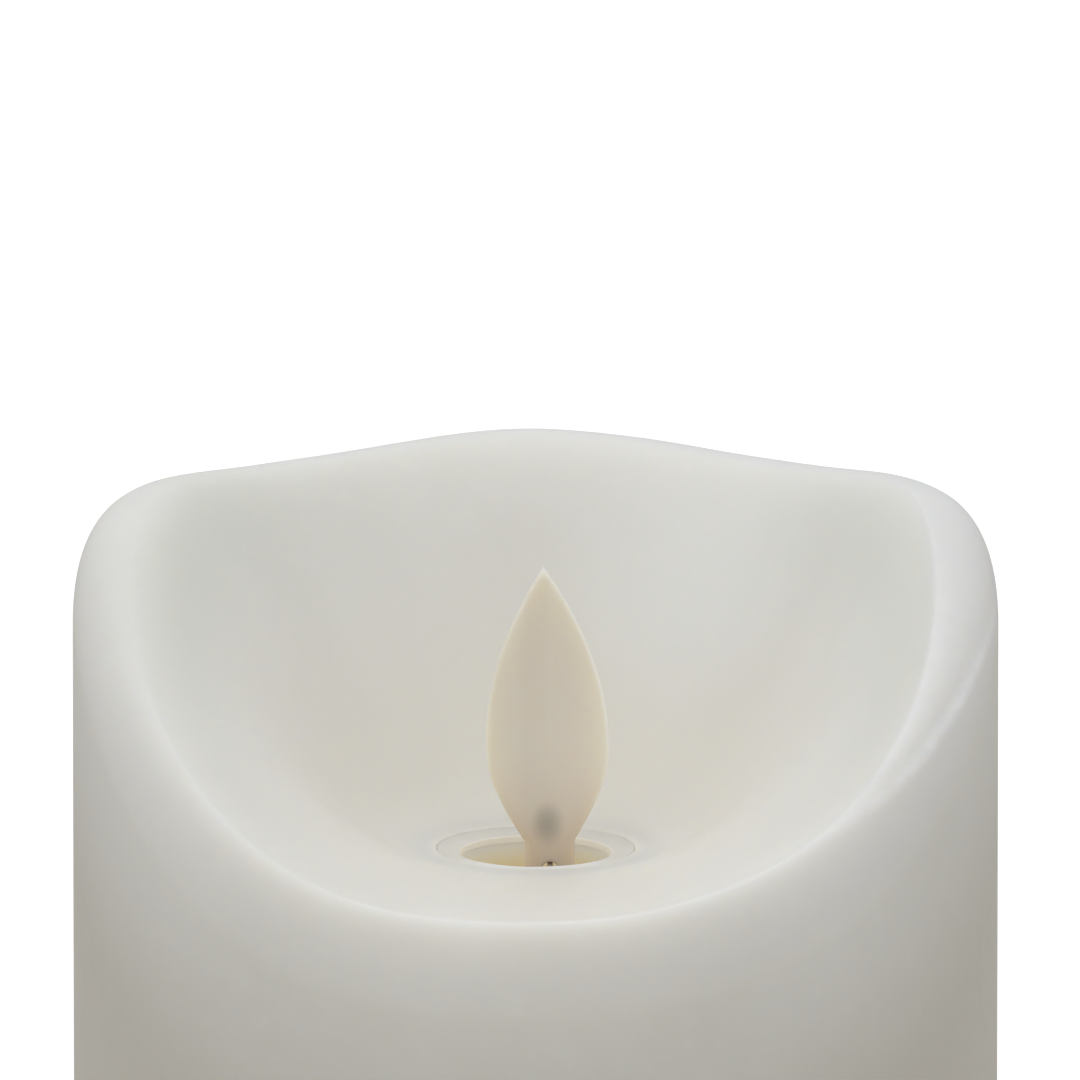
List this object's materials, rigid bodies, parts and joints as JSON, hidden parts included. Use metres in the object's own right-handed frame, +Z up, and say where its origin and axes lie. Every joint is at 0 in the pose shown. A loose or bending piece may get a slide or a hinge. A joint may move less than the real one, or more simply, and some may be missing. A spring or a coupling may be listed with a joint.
{
  "type": "flameless led candle",
  "caption": "Wax pillar candle with a melted-looking top, a swinging LED-lit flame on a magnetic pendulum, and a battery base.",
  "frame": {"origin": "on the surface the candle stands on, at the middle of its foot ring and of the pillar", "axes": "+Z up along the pillar, -Y towards the low front of the melted top, +X to the right as seen from the front"},
  "size_m": [0.0888, 0.0888, 0.127],
  "materials": {
    "wax": "cast paraffin wax, satin, slightly translucent",
    "flame_plastic": "frosted translucent moulding with a soft grain",
    "collar_plastic": "warm white, smooth",
    "liner_plastic": "moulded, plain",
    "module_plastic": "moulded, fine grain",
    "base_plastic": "moulded, fine spark-eroded grain",
    "bobbin_plastic": "moulded nylon",
    "magnet": "nickel plated",
    "wire_steel": "drawn, bright",
    "screw_steel": "zinc plated",
    "spring_steel": "nickel plated",
    "copper_enamel": "enamelled copper wire",
    "led_resin": "tinted resin, clear",
    "cell_sleeve": "printed sleeve over a steel can, no lettering",
    "board_green": "solder mask over glass fibre",
    "chip_black": "moulded epoxy",
    "capacitor_sleeve": "shrink sleeve",
    "ferrite": "ferrite core with a dark winding",
    "connector_white": "moulded nylon",
    "knob_black": "moulded, ribbed",
    "wire_red": "PVC insulation",
    "wire_black": "PVC insulation",
    "wire_white": "PVC insulation"
  },
  "bodies": {
    "candle": {"wax_shell": "wax", "inner_liner": "liner_plastic", "flame_collar": "collar_plastic", "housing_front": "module_plastic", "housing_back": "module_plastic", "housing_screws": "screw_steel", "mechanism_screws": "screw_steel", "coil_bobbin": "bobbin_plastic", "coil_winding": "copper_enamel", "led_holder": "bobbin_plastic", "led_bulb": "led_resin", "led_leads": "wire_steel", "base_housing": "base_plastic", "base_screws": "screw_steel", "battery_cell_left": "cell_sleeve", "battery_cell_right": "cell_sleeve", "positive_contact": "spring_steel", "negative_contact": "spring_steel", "negative_spring": "spring_steel", "main_board": "board_green", "controller_chip": "chip_black", "filter_capacitor": "capacitor_sleeve", "boost_inductor": "ferrite", "drive_transistors": "chip_black", "board_resistors": "chip_black", "board_connectors": "connector_white", "slide_switch": "spring_steel", "battery_wire_red": "wire_red", "battery_wire_black": "wire_black", "led_wires": "wire_white", "coil_wires": "copper_enamel"},
    "pivot_wire": {"pivot_wire": "wire_steel"},
    "flame": {"flame_petal": "flame_plastic", "flame_magnet": "magnet"},
    "battery_door": {"battery_door": "base_plastic", "bridge_plate": "spring_steel", "bridge_spring": "spring_steel"},
    "switch_knob": {"switch_knob": "knob_black"}
  },
  "joints": [
    {"name": "flame_swing", "type": "hinge", "parent": "candle", "child": "pivot_wire", "pos_m": [0.0014, 0, 0.0923], "axis": [0, 1, 0], "range_deg": [-9, 9]},
    {"name": "flame_nod", "type": "hinge", "parent": "pivot_wire", "child": "flame", "pos_m": [0.0014, 0, 0.0923], "axis": [1, 0, 0], "range_deg": [-4, 4]},
    {"name": "door_hinge", "type": "hinge", "parent": "candle", "child": "battery_door", "pos_m": [-0.0276, 0, 0.0019], "axis": [0, 1, 0], "range_deg": [0, 100]},
    {"name": "switch_slide", "type": "slide", "parent": "candle", "child": "switch_knob", "axis": [1, 0, 0], "range_m": [-0.0025, 0.0025]}
  ]
}
